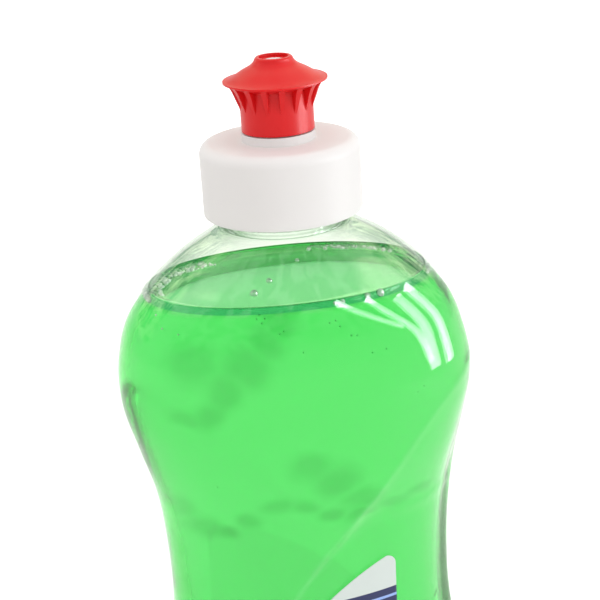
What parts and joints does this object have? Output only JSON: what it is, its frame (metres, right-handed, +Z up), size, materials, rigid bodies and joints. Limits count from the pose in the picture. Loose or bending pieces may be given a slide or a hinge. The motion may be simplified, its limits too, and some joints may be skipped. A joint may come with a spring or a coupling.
{
  "type": "dish soap bottle",
  "caption": "Clear oval squeeze bottle of green dish soap with a sculpted waist, white screw closure and red push-pull spout.",
  "frame": {"origin": "centre of the base, on the surface it stands on", "axes": "+Z up along the neck, +X along the width, the front label faces -Y"},
  "size_m": [0.083, 0.0546, 0.2198],
  "materials": {
    "clear_shell": "clear gloss blown plastic",
    "green_liquid": "clear bright green liquid",
    "label_film": "satin white film",
    "washer_foam": "soft white foam",
    "white_closure": "satin white moulding",
    "red_spout": "semi-gloss red moulding"
  },
  "bodies": {
    "bottle": {"bottle": "clear_shell", "soap": "green_liquid", "front_label": "label_film", "back_label": "label_film"},
    "washer": {"sealing_washer": "washer_foam"},
    "closure": {"closure": "white_closure"},
    "spout": {"spout": "red_spout"}
  },
  "joints": [
    {"name": "closure_rise", "type": "slide", "parent": "bottle", "child": "washer", "axis": [0, 0, 1], "range_m": [0, 0.00631]},
    {"name": "closure_turn", "type": "hinge", "parent": "washer", "child": "closure", "pos_m": [0, 0, 0.185], "axis": [0, 0, 1], "range_deg": [0, 540]},
    {"name": "spout_pull", "type": "slide", "parent": "closure", "child": "spout", "axis": [0, 0, 1], "range_m": [0, 0.005]}
  ],
  "couplings": [
    {"joint": "closure_rise", "follows": "closure_turn", "m_per_rad": 0.00066845}
  ]
}
